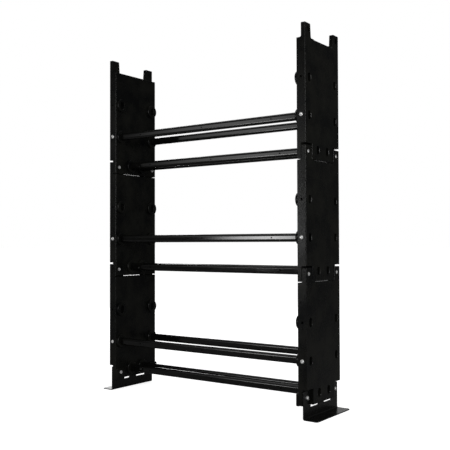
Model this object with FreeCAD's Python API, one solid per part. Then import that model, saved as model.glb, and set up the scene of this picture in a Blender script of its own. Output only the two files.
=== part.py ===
"""Modular dumbbell rack: two uprights of three stacked side modules, joined by twelve flat-oval tubes."""
import FreeCAD, Part
import math
import os

os.makedirs("parts", exist_ok=True)

# ---------------------------------------------------------------- driving dimensions, millimetres
LEVELS = ("bottom", "middle", "top")
SIDES = {"right": 1, "left": -1}
ENDS = {"front": -1, "back": 1}

CLEAR_SPAN = 735.0          # between the inner faces of the two uprights
MODULE_PITCH = 360.0        # from one module to the next
JOINT_GAP = 2.5             # daylight between two stacked modules
MODULE_DEPTH = 208.0
MODULE_THICKNESS = 30.0
EDGE_ROUND = 2.0
SKIN = 3.0                  # inner face of the shell
RIM = 4.0                   # walls of the shell round its edge
COVER_THICKNESS = 3.0
COVER_PLAY = 0.15

POST_THICKNESS = 14.0
POST_DEPTH = 36.0           # at its foot
POST_TOP_DEPTH = 32.5
POST_HEIGHT = 43.5
POST_ROOT = 22.0            # how far a post reaches down inside the shell
POST_DEPTH_FILLET = 8.0
POST_SIDE_FILLET = 5.0
POCKET_DEPTH = 39.0         # corner cut-out that takes the post of the module below
POCKET_HEIGHT = 46.5
POCKET_SIDE_PLAY = 2.0
PAD_LENGTH = 14.0           # pads on the shoulder that carry the module above
PAD_WIDTH = 8.0

BAR_HEIGHT = 25.0           # flat-oval tube, its flat sides to the front and back
BAR_DEPTH = 16.0
BAR_WALL = 1.5
BAR_HOLE_DIAMETER = 5.0
BAR_HOLE_FROM_UPRIGHT = 100.0
BAR_END_SETBACK = 10.0      # from the outer face of the upright

SOCKET_PLAY = 0.3           # all round a bar
SOCKET_TUBE = 35.0
SOCKET_CHAMFER = 1.2
BOSS_DIAMETER = 45.0
BOSS_HEIGHT = 9.0
BOSS_ROUND = 2.5
COVER_HOLE_PLAY = 0.5
COVER_CHAMFER = 0.8
EMPTY_SOCKET_HEIGHT = 241.5     # above the foot of the module
UPPER_SOCKET_HEIGHT = 129.5
LOWER_SOCKET_HEIGHT = 30.0
OUTER_SOCKET_SETBACK = 25.0     # from the front or back face
LOWER_SOCKET_SPACING = 58.0

SCREW_DIAMETER = 6.0
SCREW_HOLE = 6.6
SCREW_HEAD_DIAMETER = 12.0
SCREW_HEAD_HEIGHT = 3.3
SCREW_HEAD_ROUND = 2.3
SCREW_HEX = 4.0
SCREW_HEX_DEPTH = 2.0
SCREW_TIP_PLAY = 0.1
SCREW_BOSS = 15.0

BOLT_DIAMETER = 6.0
BOLT_HOLE = 6.6
BOLT_HEAD_FLATS = 10.0
BOLT_HEAD_HEIGHT = 4.0
BOLT_NUT_HEIGHT = 5.0
BOLT_STICK_OUT = 1.0
BOLT_SETBACK = 17.5             # from the front or back face
BOLT_HEIGHT = 22.5              # above the foot of the upper module of a joint
SPOT_FACE_DIAMETER = 16.0
INNER_SPOT_DEPTH = 2.0
OUTER_SPOT_DEPTH = 5.5
THREAD_PLAY = 0.05

FOOT_HEIGHT = 40.5              # from the floor to the foot of the bottom module
FOOT_SHEET = 3.0
FOOT_BEND = 3.0                 # inside radius
FOOT_REACH = 64.0               # flange tip, from the inner face of the upright
FOOT_CORNER = 8.0
FOOT_TONGUE_TOP = 41.5
FOOT_TONGUE_ROUND = 3.0
FOOT_WINDOW_START = 41.0        # from the front or back face
FOOT_WINDOW_LENGTH = 45.5
FOOT_WINDOW_DEPTH = 8.0
FOOT_WINDOW_ROUND = 2.0
CLAMP_THICKNESS = 7.0
CLAMP_DEPTH = 38.0
CLAMP_BOTTOM = -2.5
CLAMP_TOP = 35.5
CLAMP_CORNER = 5.0
CLAMP_ROUND = 1.2

# ---------------------------------------------------------------- derived dimensions
MODULE_HEIGHT = MODULE_PITCH - JOINT_GAP
INNER_X = CLEAR_SPAN / 2
HALF_DEPTH = MODULE_DEPTH / 2
POST_INNER = MODULE_THICKNESS - POST_THICKNESS
POCKET_INNER = POST_INNER - POCKET_SIDE_PLAY
COVER_INNER = MODULE_THICKNESS - COVER_THICKNESS
BAR_HALF_LENGTH = INNER_X + MODULE_THICKNESS - BAR_END_SETBACK
SOCKET_DEPTH_Y = HALF_DEPTH - OUTER_SOCKET_SETBACK
BOLT_Y = HALF_DEPTH - BOLT_SETBACK
SCREWED_HEIGHTS = (UPPER_SOCKET_HEIGHT, EMPTY_SOCKET_HEIGHT)
SOCKETS = [(end * SOCKET_DEPTH_Y, height) for height in SCREWED_HEIGHTS for end in (-1, 1)]
SOCKETS += [(end * LOWER_SOCKET_SPACING / 2, LOWER_SOCKET_HEIGHT) for end in (-1, 1)]
HEXAGON_SIDES = 6
MARGIN = 5.0                    # how far a cutting tool runs past the face that it cuts
TINY = 1e-4


# ---------------------------------------------------------------- small tools
# A side piece is drawn for the right upright: "out" is the distance from its inner face, away from the bars,
# and height is counted from the foot of its own module.
def block(out_range, y_range, z_range):
    """A box between two distances out, two depths and two heights."""
    corner = FreeCAD.Vector(INNER_X + out_range[0], y_range[0], z_range[0])
    return Part.makeBox(out_range[1] - out_range[0], y_range[1] - y_range[0], z_range[1] - z_range[0], corner)


def rod_out(diameter, out_range, y, z):
    """A cylinder that runs outwards, along X."""
    base = FreeCAD.Vector(INNER_X + out_range[0], y, z)
    return Part.makeCylinder(diameter / 2, out_range[1] - out_range[0], base, FreeCAD.Vector(1, 0, 0))


def oval_wire(play, out, y, z):
    """A bar's flat-oval outline, grown by some play, at one distance out."""
    x = INNER_X + out
    radius = BAR_DEPTH / 2 + play
    reach = (BAR_HEIGHT - BAR_DEPTH) / 2

    def point(across, up):
        return FreeCAD.Vector(x, y + across, z + up)

    crown = Part.Arc(point(-radius, reach), point(0, reach + radius), point(radius, reach)).toShape()
    sole = Part.Arc(point(radius, -reach), point(0, -reach - radius), point(-radius, -reach)).toShape()
    back = Part.LineSegment(point(radius, reach), point(radius, -reach)).toShape()
    front = Part.LineSegment(point(-radius, -reach), point(-radius, reach)).toShape()
    return Part.Wire([crown, back, sole, front])


def oval_rod(play, out_range, y, z):
    """A flat-oval rod, grown by some play round a bar's outline, that runs outwards along X."""
    face = Part.Face(oval_wire(play, out_range[0], y, z))
    return face.extrude(FreeCAD.Vector(out_range[1] - out_range[0], 0, 0))


def oval_mouth(play, chamfer, face_out, inwards, y, z):
    """The chamfer at the mouth of a flat-oval hole: inwards is the way the hole runs, +1 or -1 along out."""
    wide = oval_wire(play + chamfer, face_out, y, z)
    narrow = oval_wire(play, face_out + inwards * chamfer, y, z)
    return Part.makeLoft([wide, narrow], True)


def rod_in(diameter, depth_range, end, out, z):
    """A cylinder that runs in from the front (end -1) or back (end 1) face, between two depths below it."""
    base = FreeCAD.Vector(INNER_X + out, end * (HALF_DEPTH - depth_range[0]), z)
    return Part.makeCylinder(diameter / 2, depth_range[1] - depth_range[0], base, FreeCAD.Vector(0, -end, 0))


def hexagon_prism(flats, length, base, direction):
    """A hexagonal prism with the given width across its flats."""
    corners = []
    radius = flats / math.sqrt(3)
    for step in range(HEXAGON_SIDES + 1):
        angle = 2 * math.pi * step / HEXAGON_SIDES
        corners.append(FreeCAD.Vector(radius * math.cos(angle), radius * math.sin(angle), 0))
    prism = Part.Face(Part.makePolygon(corners)).extrude(FreeCAD.Vector(0, 0, length))
    prism.Placement = FreeCAD.Placement(base, FreeCAD.Rotation(FreeCAD.Vector(0, 0, 1), direction))
    return prism


def rounded_polygon(points, radii, out):
    """A face at one distance out, through (y, z) points, each corner rounded by its radius."""
    count = len(points)
    corners = [FreeCAD.Vector(INNER_X + out, y, z) for y, z in points]
    starts = []
    ends = []
    middles = []
    for index, corner in enumerate(corners):
        to_last = (corners[index - 1] - corner).normalize()
        to_next = (corners[(index + 1) % count] - corner).normalize()
        half_turn = to_last.getAngle(to_next) / 2
        reach = radii[index] / math.tan(half_turn)
        bisector = (to_last + to_next).normalize()
        starts.append(corner + to_last * reach)
        ends.append(corner + to_next * reach)
        middles.append(corner + bisector * (radii[index] / math.sin(half_turn) - radii[index]))
    edges = []
    for index in range(count):
        if radii[index] > 0:
            edges.append(Part.Arc(starts[index], middles[index], ends[index]).toShape())
        edges.append(Part.LineSegment(ends[index], starts[(index + 1) % count]).toShape())
    return Part.Face(Part.Wire(edges))


def mirror_depth(shape):
    """The same shape at the other end of the depth."""
    return shape.mirror(FreeCAD.Vector(0, 0, 0), FreeCAD.Vector(0, 1, 0))


def at_end(shape, end):
    """A shape drawn at the front, placed at the front (-1) or the back (1)."""
    return shape if end < 0 else mirror_depth(shape)


def on_plane(edge, axis, value):
    """Whether a whole edge lies in the plane axis = value."""
    box = edge.BoundBox
    low, high = {"x": (box.XMin, box.XMax), "y": (box.YMin, box.YMax), "z": (box.ZMin, box.ZMax)}[axis]
    return abs(low - value) < TINY and abs(high - value) < TINY


# ---------------------------------------------------------------- side module: shell
def front_post():
    """The front post, its root inside the shell and the fillet along its foot."""
    shoulder = MODULE_HEIGHT
    front = -HALF_DEPTH
    back = front + POST_DEPTH
    top = shoulder + POST_HEIGHT
    flare = back + 2 * POST_DEPTH_FILLET
    points = [(front, shoulder - RIM), (front, top), (front + POST_TOP_DEPTH, top), (back, shoulder),
              (flare, shoulder), (flare, shoulder - RIM)]
    outline = rounded_polygon(points, [0, 0, 0, POST_DEPTH_FILLET, 0, 0], POST_INNER)
    post = outline.extrude(FreeCAD.Vector(POST_THICKNESS, 0, 0))
    root_range = (shoulder - POST_ROOT, shoulder - RIM)
    root = block((POST_INNER, COVER_INNER), (front + RIM, back), root_range)
    fillet_out = POST_INNER - POST_SIDE_FILLET
    foot = block((fillet_out, POST_INNER), (front, back), (shoulder, shoulder + POST_SIDE_FILLET))
    start = FreeCAD.Vector(INNER_X + fillet_out, -MODULE_DEPTH, shoulder + POST_SIDE_FILLET)
    hollow = Part.makeCylinder(POST_SIDE_FILLET, MODULE_DEPTH, start, FreeCAD.Vector(0, 1, 0))
    return post, root, foot.cut(hollow)


def front_pocket():
    """The corner cut-out at the foot of a module, where the post of the module below stands."""
    out_range = (POCKET_INNER, MODULE_THICKNESS + MARGIN)
    return block(out_range, (-HALF_DEPTH - MARGIN, -HALF_DEPTH + POCKET_DEPTH), (-MARGIN, POCKET_HEIGHT))


def outer_form():
    """The outer form: a slab with posts on its shoulder and cut-outs at its foot, its edges rounded."""
    form = block((0, MODULE_THICKNESS), (-HALF_DEPTH, HALF_DEPTH), (0, MODULE_HEIGHT))
    for end in ENDS.values():
        post, _, foot = front_post()
        form = form.fuse([at_end(post, end), at_end(foot, end)])
        form = form.cut(at_end(front_pocket(), end))
    form = form.removeSplitter()
    post_top = MODULE_HEIGHT + POST_HEIGHT
    edges = []
    for edge in form.Edges:
        on_face = on_plane(edge, "x", INNER_X) or on_plane(edge, "x", INNER_X + MODULE_THICKNESS)
        if on_face or on_plane(edge, "z", post_top):
            edges.append(edge)
    return form.makeFillet(EDGE_ROUND, edges)


def cavity_outline(inset, out):
    """The outline of the shell's cavity, or of the cover that closes it, drawn in by an inset."""
    side = HALF_DEPTH - RIM - inset
    step = HALF_DEPTH - POCKET_DEPTH - RIM - inset
    low = RIM + inset
    ledge = POCKET_HEIGHT + RIM + inset
    high = MODULE_HEIGHT - RIM - inset
    points = [(-step, low), (step, low), (step, ledge), (side, ledge), (side, high), (-side, high),
              (-side, ledge), (-step, ledge)]
    return rounded_polygon(points, [EDGE_ROUND] * len(points), out)


def socket_boss(y, z):
    """The collar round a socket on the inner face, with a rounded rim."""
    boss = rod_out(BOSS_DIAMETER, (-BOSS_HEIGHT, SKIN), y, z)
    rim = [edge for edge in boss.Edges if on_plane(edge, "x", INNER_X - BOSS_HEIGHT)]
    return boss.makeFillet(BOSS_ROUND, rim)


def socket_bore(y, z):
    """The flat-oval hole for a bar, with a chamfered mouth."""
    bore = oval_rod(SOCKET_PLAY, (-BOSS_HEIGHT - MARGIN, COVER_INNER), y, z)
    return bore.fuse(oval_mouth(SOCKET_PLAY, SOCKET_CHAMFER, -BOSS_HEIGHT, 1, y, z))


def side_shell():
    """One moulded shell: skin, rim, sockets, posts, the pads at its joints and the bosses for its screws."""
    shell = outer_form()
    shell = shell.cut(cavity_outline(0, SKIN).extrude(FreeCAD.Vector(MODULE_THICKNESS, 0, 0)))
    inside = []
    holes = []
    middle = MODULE_THICKNESS / 2
    pad_start = -HALF_DEPTH + POST_DEPTH + POST_DEPTH_FILLET
    shoulder_pad = block((COVER_INNER - PAD_WIDTH, COVER_INNER), (pad_start, pad_start + PAD_LENGTH),
                         (MODULE_HEIGHT - RIM, MODULE_PITCH))
    for end in ENDS.values():
        _, root, _ = front_post()
        y = end * BOLT_Y
        inside.append(at_end(root, end))
        inside.append(at_end(shoulder_pad, end))
        inside.append(rod_out(SPOT_FACE_DIAMETER, (POCKET_INNER - RIM, POST_INNER), y, BOLT_HEIGHT))
        for height in SCREWED_HEIGHTS:
            inside.append(rod_in(SCREW_BOSS, (RIM / 2, OUTER_SOCKET_SETBACK), end, middle, height))
            holes.append(rod_in(SCREW_HOLE, (-MARGIN, OUTER_SOCKET_SETBACK), end, middle, height))
        for height in (BOLT_HEIGHT, MODULE_PITCH + BOLT_HEIGHT):
            holes.append(rod_out(BOLT_HOLE, (-MARGIN, MODULE_THICKNESS + MARGIN), y, height))
        holes.append(rod_out(SPOT_FACE_DIAMETER, (-MARGIN, INNER_SPOT_DEPTH), y, BOLT_HEIGHT))
        outer_spot = (MODULE_THICKNESS - OUTER_SPOT_DEPTH, MODULE_THICKNESS + MARGIN)
        holes.append(rod_out(SPOT_FACE_DIAMETER, outer_spot, y, MODULE_PITCH + BOLT_HEIGHT))
    for y, z in SOCKETS:
        inside.append(rod_out(SOCKET_TUBE, (SKIN, COVER_INNER), y, z))
        inside.append(socket_boss(y, z))
        holes.append(socket_bore(y, z))
    return shell.fuse(inside).cut(Part.makeCompound(holes[:1]).fuse(holes[1:])).removeSplitter()


def side_cover():
    """The flat cover that closes a shell from outside, with a flat-oval hole over each socket."""
    cover = cavity_outline(COVER_PLAY, COVER_INNER).extrude(FreeCAD.Vector(COVER_THICKNESS, 0, 0))
    hole_range = (COVER_INNER - MARGIN, MODULE_THICKNESS + MARGIN)
    for y, z in SOCKETS:
        cover = cover.cut(oval_rod(COVER_HOLE_PLAY, hole_range, y, z))
        cover = cover.cut(oval_mouth(COVER_HOLE_PLAY, COVER_CHAMFER, MODULE_THICKNESS, -1, y, z))
    return cover


# ---------------------------------------------------------------- bars
def bar(y, height, holes_face):
    """A flat-oval tube through both uprights' sockets, three small holes in the flat side that faces out."""
    span = (-INNER_X - BAR_HALF_LENGTH, -INNER_X + BAR_HALF_LENGTH)
    tube = oval_rod(0, span, y, height).cut(oval_rod(-BAR_WALL, span, y, height))
    reach = INNER_X - BAR_HOLE_FROM_UPRIGHT
    for x in (-reach, 0, reach):
        hole = Part.makeCylinder(BAR_HOLE_DIAMETER / 2, BAR_DEPTH, FreeCAD.Vector(x, y, height),
                                 FreeCAD.Vector(0, holes_face, 0))
        tube = tube.cut(hole)
    return tube


# ---------------------------------------------------------------- screws, bolts and nuts
def clamp_screw(end, height):
    """A button-head screw whose tip presses on the flat side of a bar."""
    middle = MODULE_THICKNESS / 2
    tip = OUTER_SOCKET_SETBACK - BAR_DEPTH / 2 - SCREW_TIP_PLAY
    head = rod_in(SCREW_HEAD_DIAMETER, (-SCREW_HEAD_HEIGHT, 0), end, middle, height)
    crown = [edge for edge in head.Edges if on_plane(edge, "y", end * (HALF_DEPTH + SCREW_HEAD_HEIGHT))]
    head = head.makeFillet(SCREW_HEAD_ROUND, crown)
    screw = head.fuse(rod_in(SCREW_DIAMETER, (0, tip), end, middle, height))
    base = FreeCAD.Vector(INNER_X + middle, end * (HALF_DEPTH + SCREW_HEAD_HEIGHT), height)
    return screw.cut(hexagon_prism(SCREW_HEX, SCREW_HEX_DEPTH, base, FreeCAD.Vector(0, -end, 0)))


def hexagon_bolt(out_start, out_end, end, height):
    """A hexagon-head bolt, its head towards the bars: out_start is the seat of the head, out_end the tip."""
    outwards = FreeCAD.Vector(1, 0, 0)
    y = end * BOLT_Y
    base = FreeCAD.Vector(INNER_X + out_start - BOLT_HEAD_HEIGHT, y, height)
    head = hexagon_prism(BOLT_HEAD_FLATS, BOLT_HEAD_HEIGHT, base, outwards)
    radius = BOLT_HEAD_FLATS / 2
    rounded = Part.makeCone(radius, radius + BOLT_HEAD_HEIGHT, BOLT_HEAD_HEIGHT, base, outwards)
    return head.common(rounded).fuse(rod_out(BOLT_DIAMETER, (out_start, out_end), y, height))


def hexagon_nut(out_start, end, height):
    """A hexagon nut that starts at out_start and faces out."""
    outwards = FreeCAD.Vector(1, 0, 0)
    y = end * BOLT_Y
    base = FreeCAD.Vector(INNER_X + out_start, y, height)
    nut = hexagon_prism(BOLT_HEAD_FLATS, BOLT_NUT_HEIGHT, base, outwards)
    radius = BOLT_HEAD_FLATS / 2
    rounded = Part.makeCone(radius + BOLT_NUT_HEIGHT, radius, BOLT_NUT_HEIGHT, base, outwards)
    bore_range = (out_start - MARGIN, out_start + BOLT_NUT_HEIGHT + MARGIN)
    bore = rod_out(BOLT_DIAMETER + 2 * THREAD_PLAY, bore_range, y, height)
    return nut.common(rounded).cut(bore)


# ---------------------------------------------------------------- feet
def foot_profile():
    """The foot's section: a sheet bent outwards in an L."""
    plate = POST_INNER
    bend = FOOT_BEND + FOOT_SHEET
    floor = -FOOT_HEIGHT
    slant = math.sqrt(0.5)
    turn_out = plate + bend
    turn_up = floor + bend

    def point(out, z):
        return FreeCAD.Vector(INNER_X + out, -HALF_DEPTH, z)

    outer_arc = Part.Arc(point(plate, turn_up), point(turn_out - bend * slant, turn_up - bend * slant),
                         point(turn_out, floor)).toShape()
    inner_arc = Part.Arc(point(turn_out, floor + FOOT_SHEET),
                         point(turn_out - FOOT_BEND * slant, turn_up - FOOT_BEND * slant),
                         point(plate + FOOT_SHEET, turn_up)).toShape()
    corners = [point(turn_out, floor), point(FOOT_REACH, floor), point(FOOT_REACH, floor + FOOT_SHEET),
               point(turn_out, floor + FOOT_SHEET)]
    wall = [point(plate + FOOT_SHEET, turn_up), point(plate + FOOT_SHEET, FOOT_TONGUE_TOP),
            point(plate, FOOT_TONGUE_TOP), point(plate, turn_up)]
    edges = [outer_arc] + Part.makePolygon(corners).Edges + [inner_arc] + Part.makePolygon(wall).Edges
    return Part.Face(Part.Wire(edges))


def plate_outline():
    """What stays of the upright plate: a tongue at each end, a middle tab and a window on each side of it."""
    front = -HALF_DEPTH
    tongue = front + POST_DEPTH
    window = front + FOOT_WINDOW_START
    tab = window + FOOT_WINDOW_LENGTH
    low = -FOOT_WINDOW_DEPTH
    floor = -FOOT_HEIGHT - MARGIN
    half = [(front, floor), (front, FOOT_TONGUE_TOP), (tongue, FOOT_TONGUE_TOP), (tongue, 0), (window, 0),
            (window, low), (tab, low), (tab, 0)]
    half_radii = [0] + [FOOT_TONGUE_ROUND] * 2 + [FOOT_WINDOW_ROUND] * 5
    points = half + [(-y, z) for y, z in reversed(half)]
    return rounded_polygon(points, half_radii + half_radii[::-1], -MARGIN)


def foot_bracket():
    """The bent sheet foot, bolted into the lower cut-outs of the bottom module."""
    foot = foot_profile().extrude(FreeCAD.Vector(0, MODULE_DEPTH, 0))
    foot = foot.common(plate_outline().extrude(FreeCAD.Vector(FOOT_REACH + 2 * MARGIN, 0, 0)))
    tip = [edge for edge in foot.Edges if on_plane(edge, "x", INNER_X + FOOT_REACH)
           and (on_plane(edge, "y", -HALF_DEPTH) or on_plane(edge, "y", HALF_DEPTH))]
    foot = foot.makeFillet(FOOT_CORNER, tip)
    for end in ENDS.values():
        foot = foot.cut(rod_out(BOLT_HOLE, (0, MODULE_THICKNESS), end * BOLT_Y, BOLT_HEIGHT))
    return foot


def foot_clamp_block(end):
    """The thick washer block on the inner face that the foot bolt pulls against."""
    front = -HALF_DEPTH
    back = front + CLAMP_DEPTH
    points = [(front, CLAMP_BOTTOM), (back, CLAMP_BOTTOM), (back, CLAMP_TOP), (front, CLAMP_TOP)]
    clamp = rounded_polygon(points, [CLAMP_CORNER] * len(points), -CLAMP_THICKNESS)
    clamp = clamp.extrude(FreeCAD.Vector(CLAMP_THICKNESS, 0, 0))
    face = [edge for edge in clamp.Edges if on_plane(edge, "x", INNER_X - CLAMP_THICKNESS)]
    clamp = clamp.makeFillet(CLAMP_ROUND, face)
    clamp = clamp.cut(rod_out(BOLT_HOLE, (-CLAMP_THICKNESS - MARGIN, MARGIN), -BOLT_Y, BOLT_HEIGHT))
    return at_end(clamp, end)


# ---------------------------------------------------------------- placing and writing
def place(shape, side, level):
    """Move a right-hand side piece to its level, and mirror it for the left upright."""
    placed = shape.copy()
    placed.translate(FreeCAD.Vector(0, 0, FOOT_HEIGHT + level * MODULE_PITCH))
    if side < 0:
        placed = placed.mirror(FreeCAD.Vector(0, 0, 0), FreeCAD.Vector(1, 0, 0))
    return placed


def write(node, shapes):
    """Write one node, a single solid or a group of separate ones."""
    shape = shapes[0] if len(shapes) == 1 else Part.makeCompound(shapes)
    print(node, "solids", len(shape.Solids), "valid", shape.isValid(), "cm3", round(shape.Volume / 1000, 2))
    shape.exportStep("parts/" + node + ".step")


def write_side_modules():
    shell = side_shell()
    cover = side_cover()
    for side_name, side in SIDES.items():
        for level, level_name in enumerate(LEVELS):
            write("side_shell_" + side_name + "_" + level_name, [place(shell, side, level)])
            write("side_cover_" + side_name + "_" + level_name, [place(cover, side, level)])


def write_bars():
    rows = {"upper": (SOCKET_DEPTH_Y, UPPER_SOCKET_HEIGHT),
            "lower": (LOWER_SOCKET_SPACING / 2, LOWER_SOCKET_HEIGHT)}
    for level, level_name in enumerate(LEVELS):
        base = FOOT_HEIGHT + level * MODULE_PITCH
        for row_name, (y, height) in rows.items():
            for end_name, end in ENDS.items():
                node = "bar_" + level_name + "_" + row_name + "_" + end_name
                write(node, [bar(end * y, base + height, end)])


def write_fasteners():
    joint_nut = MODULE_THICKNESS - OUTER_SPOT_DEPTH
    joint_tip = joint_nut + BOLT_NUT_HEIGHT + BOLT_STICK_OUT
    plate_outside = POST_INNER + FOOT_SHEET
    foot_tip = plate_outside + BOLT_NUT_HEIGHT + BOLT_STICK_OUT
    levels = range(len(LEVELS))
    joints = levels[1:]
    ends = ENDS.values()
    for side_name, side in SIDES.items():
        screws = [place(clamp_screw(end, UPPER_SOCKET_HEIGHT), side, level)
                  for level in levels for end in ends]
        bolts = [place(hexagon_bolt(INNER_SPOT_DEPTH, joint_tip, end, BOLT_HEIGHT), side, level)
                 for level in joints for end in ends]
        nuts = [place(hexagon_nut(joint_nut, end, BOLT_HEIGHT), side, level)
                for level in joints for end in ends]
        foot_bolts = [place(hexagon_bolt(-CLAMP_THICKNESS, foot_tip, end, BOLT_HEIGHT), side, 0)
                      for end in ends]
        foot_nuts = [place(hexagon_nut(plate_outside, end, BOLT_HEIGHT), side, 0) for end in ends]
        write("clamp_screws_" + side_name, screws)
        write("joint_bolts_" + side_name, bolts)
        write("joint_nuts_" + side_name, nuts)
        write("foot_bolts_" + side_name, foot_bolts)
        write("foot_nuts_" + side_name, foot_nuts)


def write_feet():
    foot = foot_bracket()
    for side_name, side in SIDES.items():
        write("foot_bracket_" + side_name, [place(foot, side, 0)])
        for end_name, end in ENDS.items():
            write("foot_clamp_" + side_name + "_" + end_name, [place(foot_clamp_block(end), side, 0)])


write_side_modules()
write_bars()
write_fasteners()
write_feet()
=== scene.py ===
"""Looks for a three-tier dumbbell rack: materials, detailed fasteners, floor, light and camera."""
import math

import bmesh
import bpy
from mathutils import Matrix, Vector


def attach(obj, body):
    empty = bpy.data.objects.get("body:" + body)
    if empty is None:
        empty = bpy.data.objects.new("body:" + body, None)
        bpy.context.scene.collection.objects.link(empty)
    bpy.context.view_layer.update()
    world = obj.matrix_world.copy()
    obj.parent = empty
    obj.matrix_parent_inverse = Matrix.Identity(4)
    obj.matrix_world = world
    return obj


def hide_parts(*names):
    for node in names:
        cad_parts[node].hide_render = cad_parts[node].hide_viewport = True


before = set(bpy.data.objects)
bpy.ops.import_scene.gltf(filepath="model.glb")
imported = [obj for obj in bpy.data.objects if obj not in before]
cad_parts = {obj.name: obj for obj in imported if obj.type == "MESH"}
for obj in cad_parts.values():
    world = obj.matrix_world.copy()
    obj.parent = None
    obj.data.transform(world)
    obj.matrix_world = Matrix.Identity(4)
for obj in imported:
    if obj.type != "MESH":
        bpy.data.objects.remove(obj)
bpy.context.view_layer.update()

MM = 0.001
BODY = "root"
DIM_SIDE = 0.05             # strength of the studio that reflections see, in front of the rack
BRIGHT_SIDE = 0.06          # and behind it


# ---------------------------------------------------------------- node helpers

def new_material(name):
    mat = bpy.data.materials.new(name)
    mat.use_nodes = True
    tree = mat.node_tree
    shader = next(n for n in tree.nodes if n.type == "BSDF_PRINCIPLED")
    return mat, tree, shader


def put(tree, kind, settings=None, inputs=None):
    node = tree.nodes.new(kind)
    for key, value in (settings or {}).items():
        setattr(node, key, value)
    for key, value in (inputs or {}).items():
        node.inputs[key].default_value = value
    return node


def noise(tree, coord, scale, detail=3.0, roughness=0.5, stretch=(1, 1, 1)):
    place = put(tree, "ShaderNodeMapping", {"vector_type": "POINT"})
    place.inputs["Scale"].default_value = stretch
    tree.links.new(coord, place.inputs["Vector"])
    node = put(tree, "ShaderNodeTexNoise", None, {"Scale": scale, "Detail": detail, "Roughness": roughness})
    tree.links.new(place.outputs["Vector"], node.inputs["Vector"])
    return node.outputs["Fac"]


def span(tree, value, low, high, to_low, to_high):
    """value mapped from low..high to to_low..to_high, and held inside them."""
    node = put(tree, "ShaderNodeMapRange", {"clamp": True},
               {"From Min": low, "From Max": high, "To Min": to_low, "To Max": to_high})
    tree.links.new(value, node.inputs["Value"])
    return node.outputs["Result"]


def sum_of(tree, a, b, operation="ADD"):
    node = put(tree, "ShaderNodeMath", {"operation": operation})
    for socket, value in zip(node.inputs, (a, b)):
        if isinstance(value, (int, float)):
            socket.default_value = value
        else:
            tree.links.new(value, socket)
    return node.outputs["Value"]


def blend_colours(tree, factor, first, second):
    node = put(tree, "ShaderNodeMix", {"data_type": "RGBA"})
    tree.links.new(factor, node.inputs["Factor"])
    for socket, value in ((node.inputs["A"], first), (node.inputs["B"], second)):
        if isinstance(value, tuple):
            socket.default_value = value
        else:
            tree.links.new(value, socket)
    return node.outputs["Result"]


def object_coord(tree):
    return put(tree, "ShaderNodeTexCoord").outputs["Object"]


def edge_mask(tree, radius):
    """1 on sharp outer edges, falling to 0 on open faces."""
    soft = put(tree, "ShaderNodeBevel", {"samples": 4}, {"Radius": radius})
    plain = put(tree, "ShaderNodeNewGeometry")
    dot = put(tree, "ShaderNodeVectorMath", {"operation": "DOT_PRODUCT"})
    tree.links.new(soft.outputs["Normal"], dot.inputs[0])
    tree.links.new(plain.outputs["Normal"], dot.inputs[1])
    return span(tree, dot.outputs["Value"], 0.98, 0.80, 0.0, 1.0)


def bump(tree, shader, height, distance, strength=1.0):
    node = put(tree, "ShaderNodeBump", None, {"Strength": strength, "Distance": distance})
    tree.links.new(height, node.inputs["Height"])
    tree.links.new(node.outputs["Normal"], shader.inputs["Normal"])


# ---------------------------------------------------------------- materials

def moulded_plastic():
    """Black glass-filled plastic: fine sparked grain, slow sink marks and rubbed edges."""
    mat, tree, shader = new_material("moulded_plastic")
    coord = object_coord(tree)
    grain = noise(tree, coord, 1400.0, 2.0, 0.6)
    sink = noise(tree, coord, 17.0, 4.0, 0.6)
    scuff = noise(tree, coord, 60.0, 5.0, 0.7, (1.0, 1.0, 0.25))
    edge = edge_mask(tree, 1.6 * MM)
    worn = sum_of(tree, edge, span(tree, scuff, 0.42, 0.62, 0.0, 1.0), "MULTIPLY")
    tone = blend_colours(tree, span(tree, sink, 0.35, 0.65, 0.0, 1.0),
                         (0.0026, 0.0028, 0.0030, 1), (0.0092, 0.0092, 0.0076, 1))
    rubbed = blend_colours(tree, span(tree, worn, 0.0, 1.0, 0.0, 0.55), tone, (0.035, 0.035, 0.034, 1))
    tree.links.new(rubbed, shader.inputs["Base Color"])
    rough = sum_of(tree, span(tree, sink, 0.3, 0.7, 0.22, 0.30), span(tree, scuff, 0.4, 0.7, 0.0, 0.06))
    tree.links.new(rough, shader.inputs["Roughness"])
    shader.inputs["IOR"].default_value = 1.45
    shader.inputs["Specular IOR Level"].default_value = 0.22
    height = sum_of(tree, span(tree, grain, 0.2, 0.8, 0.0, 1.0), sum_of(tree, sink, 6.0, "MULTIPLY"))
    bump(tree, shader, height, 0.05 * MM, 0.5)
    return mat


def satin_paint(name, dark, light, roughness, peel_size, peel_depth, coat):
    """Sprayed black paint on steel: orange peel, faint handling marks and thinner paint on the edges."""
    mat, tree, shader = new_material(name)
    coord = object_coord(tree)
    peel = noise(tree, coord, peel_size, 2.0, 0.4)
    marks = noise(tree, coord, 35.0, 6.0, 0.7, (0.35, 1.0, 1.0))
    tone = blend_colours(tree, span(tree, marks, 0.35, 0.65, 0.0, 1.0), dark, light)
    edge = edge_mask(tree, 0.8 * MM)
    tone = blend_colours(tree, span(tree, edge, 0.0, 1.0, 0.0, 0.4), tone, (0.05, 0.05, 0.05, 1))
    tree.links.new(tone, shader.inputs["Base Color"])
    tree.links.new(span(tree, marks, 0.3, 0.7, roughness, roughness + 0.06), shader.inputs["Roughness"])
    shader.inputs["IOR"].default_value = 1.5
    shader.inputs["Coat Weight"].default_value = coat
    shader.inputs["Coat Roughness"].default_value = 0.12
    bump(tree, shader, peel, peel_depth, 0.6)
    return mat


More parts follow.
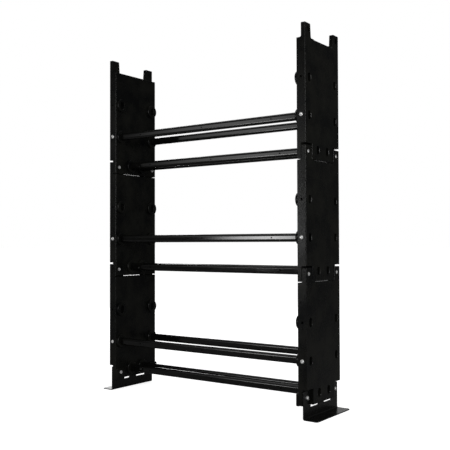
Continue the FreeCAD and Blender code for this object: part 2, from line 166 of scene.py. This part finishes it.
def plated_steel():
    """Bright zinc: fine turning marks and a slightly uneven sheen."""
    mat, tree, shader = new_material("bright_zinc")
    coord = object_coord(tree)
    cloud = noise(tree, coord, 220.0, 4.0, 0.6)
    lines = noise(tree, coord, 900.0, 2.0, 0.5, (4.0, 1.0, 1.0))
    tone = blend_colours(tree, span(tree, cloud, 0.35, 0.65, 0.0, 1.0),
                         (0.80, 0.81, 0.82, 1), (0.95, 0.94, 0.91, 1))
    tree.links.new(tone, shader.inputs["Base Color"])
    shader.inputs["Metallic"].default_value = 0.6
    tree.links.new(span(tree, cloud, 0.3, 0.7, 0.28, 0.42), shader.inputs["Roughness"])
    bump(tree, shader, lines, 0.02 * MM, 0.5)
    return mat


FINISH = {
    "moulding": moulded_plastic(),
    "bar_paint": satin_paint("satin_bar_paint", (0.0028, 0.0028, 0.0026, 1), (0.0056, 0.0056, 0.0050, 1),
                             0.07, 420.0, 0.04 * MM, 0.0),
    "foot_paint": satin_paint("powder_coat", (0.0030, 0.0030, 0.0030, 1), (0.0048, 0.0048, 0.0045, 1),
                              0.24, 500.0, 0.04 * MM, 0.0),
    "zinc": plated_steel(),
}

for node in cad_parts.values():
    for index, old in enumerate(node.data.materials):
        node.material_slots[index].material = FINISH[old.name.split(".")[0]]


# ---------------------------------------------------------------- detailed fasteners

AROUND = 48                 # points round a fastener, a multiple of 6 for its hexagons
SCREW_HEX = 4.0 * MM
SCREW_RADIUS = 3.0 * MM
HEAD_FLATS = 10.0 * MM
SCREW_HEAD = 3.3 * MM
BOLT_HEAD = 4.0 * MM
THREAD_PITCH = 1.0 * MM
THREAD_DEPTH = 0.45 * MM
THREAD_LENGTH = 8.0 * MM
THREAD_STEPS = 6            # rings to one turn of a thread
SHARP_ANGLE = math.radians(32)


def islands(node):
    """The lowest and highest corners of each separate solid in a node's mesh."""
    leader = {}

    def find(key):
        while leader[key] != key:
            key = leader[key]
        return key

    corners = [tuple(round(value, 6) for value in vertex.co) for vertex in node.data.vertices]
    for key in corners:
        leader[key] = key
    for face in node.data.polygons:
        first = find(corners[face.vertices[0]])
        for index in face.vertices[1:]:
            leader[find(corners[index])] = first
    boxes = {}
    for key in corners:
        low, high = boxes.setdefault(find(key), (list(key), list(key)))
        for axis in range(3):
            low[axis] = min(low[axis], key[axis])
            high[axis] = max(high[axis], key[axis])
    return sorted((tuple(low), tuple(high)) for low, high in boxes.values())


def circle(radius, height):
    return [(radius * math.cos(turn), radius * math.sin(turn), height) for turn in ring_turns()]


def ring_turns():
    return [2 * math.pi * step / AROUND for step in range(AROUND)]


def hexagon(flats, height, limit=1.0):
    """A ring of a hexagon, cut off where it passes limit, a radius."""
    sixth = math.pi / 3
    points = []
    for turn in ring_turns():
        radius = min(flats / 2 / math.cos(turn % sixth - sixth / 2), limit)
        points.append((radius * math.cos(turn), radius * math.sin(turn), height))
    return points


def thread(radius, start, length):
    """Rings of a thread with a 60 degree form, running out into a chamfered tip."""
    rings = []
    count = round(length / THREAD_PITCH * THREAD_STEPS)
    for step in range(count + 1):
        height = start + length * step / count
        run_in = min(1.0, step / THREAD_STEPS)
        chamfer = max(0.0, THREAD_PITCH * 0.6 - (start + length - height))
        points = []
        for turn in ring_turns():
            phase = (height / THREAD_PITCH - turn / (2 * math.pi)) % 1.0
            local = min(radius - THREAD_DEPTH * run_in * (1 - abs(2 * phase - 1)), radius - chamfer)
            points.append((local * math.cos(turn), local * math.sin(turn), height))
        rings.append(points)
    return rings


def screw_rings(length):
    """A button-head screw that stands on its crown's side: height 0 is the seat of the head."""
    crown = 6.0 * MM
    rings = [circle(SCREW_RADIUS * 0.8, -length), circle(SCREW_RADIUS, -length + 0.6 * MM),
             circle(SCREW_RADIUS, -0.3 * MM), circle(SCREW_RADIUS + 0.3 * MM, 0), circle(crown - 0.3 * MM, 0),
             circle(crown, 0.25 * MM), circle(crown, 0.9 * MM)]
    flat = 3.4 * MM
    rise = SCREW_HEAD - 0.9 * MM
    for step in range(1, 11):
        bend = math.pi / 2 * step / 10
        rings.append(circle(flat + (crown - flat) * math.cos(bend), 0.9 * MM + rise * math.sin(bend)))
    lip = 2.55 * MM
    rings += [circle(lip, SCREW_HEAD), hexagon(SCREW_HEX, SCREW_HEAD - 0.25 * MM), hexagon(SCREW_HEX, 1.4 * MM),
              circle(0.6 * MM, 1.1 * MM)]
    return rings


def bolt_rings(length):
    """A hexagon-head bolt: height 0 is the seat of the head, the shank runs up to the tip."""
    washer = HEAD_FLATS / 2 - 0.2 * MM
    rings = [circle(2.6 * MM, -BOLT_HEAD + 0.3 * MM), circle(washer - 0.7 * MM, -BOLT_HEAD + 0.2 * MM),
             circle(washer - 0.3 * MM, -BOLT_HEAD)]
    for step in range(5):
        drop = step / 4
        rings.append(hexagon(HEAD_FLATS, -BOLT_HEAD + 0.05 * MM + 0.55 * MM * drop, washer + 1.1 * MM * drop))
    rings += [hexagon(HEAD_FLATS, -0.5 * MM), hexagon(HEAD_FLATS, -0.35 * MM), circle(washer, -0.3 * MM),
              circle(washer, 0), circle(SCREW_RADIUS + 0.3 * MM, 0), circle(SCREW_RADIUS, 0.3 * MM)]
    return rings + thread(SCREW_RADIUS, length - THREAD_LENGTH, THREAD_LENGTH)


def nut_rings(length):
    """A hexagon nut, chamfered on both faces, its bore a plain turn round the bolt."""
    edge = HEAD_FLATS / 2 - 0.2 * MM
    bore = SCREW_RADIUS + 0.05 * MM
    rings = [circle(bore, 0.3 * MM), circle(bore + 0.3 * MM, 0), circle(edge, 0)]
    for step in range(5):
        rise = step / 4
        rings.append(hexagon(HEAD_FLATS, 0.05 * MM + 0.5 * MM * rise, edge + 1.0 * MM * rise))
    for step in range(5):
        rise = step / 4
        rings.append(hexagon(HEAD_FLATS, length - 0.55 * MM + 0.5 * MM * rise, edge + 1.0 * MM * (1 - rise)))
    rings += [circle(edge, length), circle(bore + 0.3 * MM, length), circle(bore, length - 0.3 * MM)]
    return rings


def add_rings(mesh_data, rings, base, along, closed):
    """Skins the rings into the mesh: capped at both ends, or closed on itself like a nut."""
    points, faces = mesh_data
    first = len(points)
    axis = Vector(along)
    across = Vector((0, 0, 1))
    third = axis.cross(across)
    for ring in rings:
        points.extend(Vector(base) + across * a + third * b + axis * h for a, b, h in ring)
    links = list(range(len(rings) - 1))
    for low in links + ([len(rings) - 1] if closed else []):
        high = (low + 1) % len(rings)
        for step in range(AROUND):
            after = (step + 1) % AROUND
            faces.append((first + low * AROUND + step, first + low * AROUND + after,
                          first + high * AROUND + after, first + high * AROUND + step))
    if not closed:
        last = first + (len(rings) - 1) * AROUND
        faces.append(tuple(first + step for step in reversed(range(AROUND))))
        faces.append(tuple(last + step for step in range(AROUND)))


def fastener_piece(name, node, mesh_data):
    """One piece that stands for a node's group of fasteners."""
    points, faces = mesh_data
    mesh = bpy.data.meshes.new(name)
    mesh.from_pydata(points, [], faces)
    shape = bmesh.new()
    shape.from_mesh(mesh)
    bmesh.ops.recalc_face_normals(shape, faces=shape.faces)
    shape.to_mesh(mesh)
    shape.free()
    for face in mesh.polygons:
        face.use_smooth = True
    mesh.set_sharp_from_angle(angle=SHARP_ANGLE)
    mesh.materials.append(FINISH["zinc"])
    piece = bpy.data.objects.new(name, mesh)
    bpy.context.scene.collection.objects.link(piece)
    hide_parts(node)
    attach(piece, BODY)


def clamp_screws(side_name):
    node = "clamp_screws_" + side_name
    mesh_data = ([], [])
    for low, high in islands(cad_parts[node]):
        middle = [(low[axis] + high[axis]) / 2 for axis in range(3)]
        end = math.copysign(1, middle[1])
        crown = high[1] if end > 0 else low[1]
        base = (middle[0], crown - end * SCREW_HEAD, middle[2])
        add_rings(mesh_data, screw_rings(high[1] - low[1] - SCREW_HEAD), base, (0, end, 0), False)
    fastener_piece("detailed_" + node, node, mesh_data)


def hexagon_fasteners(kind, side_name):
    """The bolts or nuts of one upright: a bolt's head and a nut's seat face the bars."""
    node = kind + "_" + side_name
    mesh_data = ([], [])
    for low, high in islands(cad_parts[node]):
        middle = [(low[axis] + high[axis]) / 2 for axis in range(3)]
        side = math.copysign(1, middle[0])
        inner = low[0] if side > 0 else high[0]
        length = high[0] - low[0]
        if kind.endswith("bolts"):
            base = (inner + side * BOLT_HEAD, middle[1], middle[2])
            add_rings(mesh_data, bolt_rings(length - BOLT_HEAD), base, (side, 0, 0), False)
        else:
            add_rings(mesh_data, nut_rings(length), (inner, middle[1], middle[2]), (side, 0, 0), True)
    fastener_piece("detailed_" + node, node, mesh_data)


for upright in ("right", "left"):
    clamp_screws(upright)
    for kind_of_fastener in ("joint_bolts", "joint_nuts", "foot_bolts", "foot_nuts"):
        hexagon_fasteners(kind_of_fastener, upright)


# ---------------------------------------------------------------- floor, light and camera

def light_path_switch(tree, seen, unseen):
    """The shader seen, for the camera's own rays, and unseen for light that bounces."""
    path = put(tree, "ShaderNodeLightPath")
    mix = put(tree, "ShaderNodeMixShader")
    tree.links.new(path.outputs["Is Camera Ray"], mix.inputs["Fac"])
    tree.links.new(unseen, mix.inputs[1])
    tree.links.new(seen, mix.inputs[2])
    return mix.outputs["Shader"]


def make_floor():
    mesh = bpy.data.meshes.new("floor")
    size = 60.0
    mesh.from_pydata([(-size, -size, 0), (size, -size, 0), (size, size, 0), (-size, size, 0)], [], [(0, 1, 2, 3)])
    floor = bpy.data.objects.new("floor", mesh)
    bpy.context.scene.collection.objects.link(floor)
    mat, tree, shader = new_material("pale_floor")
    shader.inputs["Base Color"].default_value = (0.85, 0.85, 0.85, 1)
    shader.inputs["Emission Color"].default_value = (1, 1, 1, 1)
    shader.inputs["Emission Strength"].default_value = 0.86
    shader.inputs["Roughness"].default_value = 0.9
    shader.inputs["Specular IOR Level"].default_value = 0.0
    dim = put(tree, "ShaderNodeBsdfDiffuse")
    dim.inputs["Color"].default_value = (0.24, 0.24, 0.24, 1)
    out = next(n for n in tree.nodes if n.type == "OUTPUT_MATERIAL")
    tree.links.new(light_path_switch(tree, shader.outputs["BSDF"], dim.outputs["BSDF"]), out.inputs["Surface"])
    mesh.materials.append(mat)


def make_world():
    """White to the camera; for reflections, a dark studio in front and a paler wall behind."""
    world = bpy.data.worlds.new("studio")
    bpy.context.scene.world = world
    world.use_nodes = True
    tree = world.node_tree
    out = next(n for n in tree.nodes if n.type == "OUTPUT_WORLD")
    seen = put(tree, "ShaderNodeBackground", None, {"Color": (1, 1, 1, 1), "Strength": 1.0})
    unseen = put(tree, "ShaderNodeBackground", None, {"Color": (0.98, 1, 0.98, 1)})
    direction = put(tree, "ShaderNodeSeparateXYZ")
    tree.links.new(put(tree, "ShaderNodeTexCoord").outputs["Generated"], direction.inputs["Vector"])
    strength = span(tree, direction.outputs["Y"], -0.3, 0.7, DIM_SIDE, BRIGHT_SIDE)
    tree.links.new(strength, unseen.inputs["Strength"])
    tree.links.new(light_path_switch(tree, seen.outputs["Background"], unseen.outputs["Background"]),
                   out.inputs["Surface"])


def make_sun(name, direction, strength, angle):
    data = bpy.data.lights.new(name, "SUN")
    data.energy = strength
    data.angle = math.radians(angle)
    lamp = bpy.data.objects.new(name, data)
    lamp.rotation_mode = "QUATERNION"
    lamp.rotation_quaternion = Vector(direction).to_track_quat("Z", "Y")
    bpy.context.scene.collection.objects.link(lamp)


def soften_edges(lamp_data):
    """Fades a softbox from its middle to its edges, as a cloth front does."""
    lamp_data.use_nodes = True
    tree = lamp_data.node_tree
    lamp = next(n for n in tree.nodes if n.type == "EMISSION")
    place = put(tree, "ShaderNodeSeparateXYZ")
    tree.links.new(put(tree, "ShaderNodeNewGeometry").outputs["Parametric"], place.inputs["Vector"])
    bells = []
    for axis in ("X", "Y"):
        wave = sum_of(tree, sum_of(tree, place.outputs[axis], math.pi, "MULTIPLY"), 0.0, "SINE")
        bells.append(sum_of(tree, wave, wave, "MULTIPLY"))
    tree.links.new(sum_of(tree, bells[0], bells[1], "MULTIPLY"), lamp.inputs["Strength"])


def make_softbox(name, place, target, width, height, power, soft=False):
    data = bpy.data.lights.new(name, "AREA")
    data.shape = "RECTANGLE"
    data.size = width
    data.size_y = height
    data.energy = power
    if soft:
        soften_edges(data)
    lamp = bpy.data.objects.new(name, data)
    lamp.location = place
    lamp.rotation_mode = "QUATERNION"
    lamp.rotation_quaternion = (Vector(place) - Vector(target)).to_track_quat("Z", "Y")
    lamp.visible_camera = False
    bpy.context.scene.collection.objects.link(lamp)


def make_camera():
    """A camera a little under half the rack's height, looking across it from the front right."""
    yaw, pitch, roll = math.radians(36.086), math.radians(1.381), math.radians(-0.1628)
    level = Vector((-math.sin(yaw), math.cos(yaw), 0))
    side = Vector((math.cos(yaw), math.sin(yaw), 0))
    upright = Vector((0, 0, 1))
    forward = level * math.cos(pitch) + upright * math.sin(pitch)
    up = upright * math.cos(pitch) - level * math.sin(pitch)
    right = side * math.cos(roll) + up * math.sin(roll)
    top = up * math.cos(roll) - side * math.sin(roll)
    turn = Matrix((right, top, -forward)).transposed().to_4x4()
    data = bpy.data.cameras.new("camera")
    data.sensor_width = 36.0
    data.lens = 59.1
    camera = bpy.data.objects.new("camera", data)
    bpy.context.scene.collection.objects.link(camera)
    camera.matrix_world = Matrix.Translation((1.4689, -1.9729, 0.515)) @ turn
    bpy.context.scene.camera = camera


make_floor()
make_world()
make_sun("overhead", (-0.15, 0.05, 1.0), 0.7, 70.0)
make_softbox("front_low", (-1.40, -2.66, 0.60), (0.15, 0, 0.60), 1.0, 0.46, 24.0, True)
make_softbox("front_high", (-1.60, -2.66, 1.25), (0.15, 0, 0.80), 2.0, 1.0, 14.0, True)
make_softbox("right", (3.0, -1.5, 1.1), (0, 0, 0.7), 1.0, 1.2, 45.0)
make_softbox("fill", (0.9, -3.4, 1.9), (0, 0, 0.7), 1.2, 1.0, 16.0)
make_softbox("back_left", (-2.6, 2.2, 1.3), (0, 0, 0.6), 1.2, 1.2, 20.0)
make_softbox("behind", (-1.15, 3.0, 0.85), (0.4, 0, 0), 1.6, 0.8, 2.5)
make_camera()
bpy.context.scene.view_settings.view_transform = "Standard"
bpy.context.scene.view_settings.look = "None"
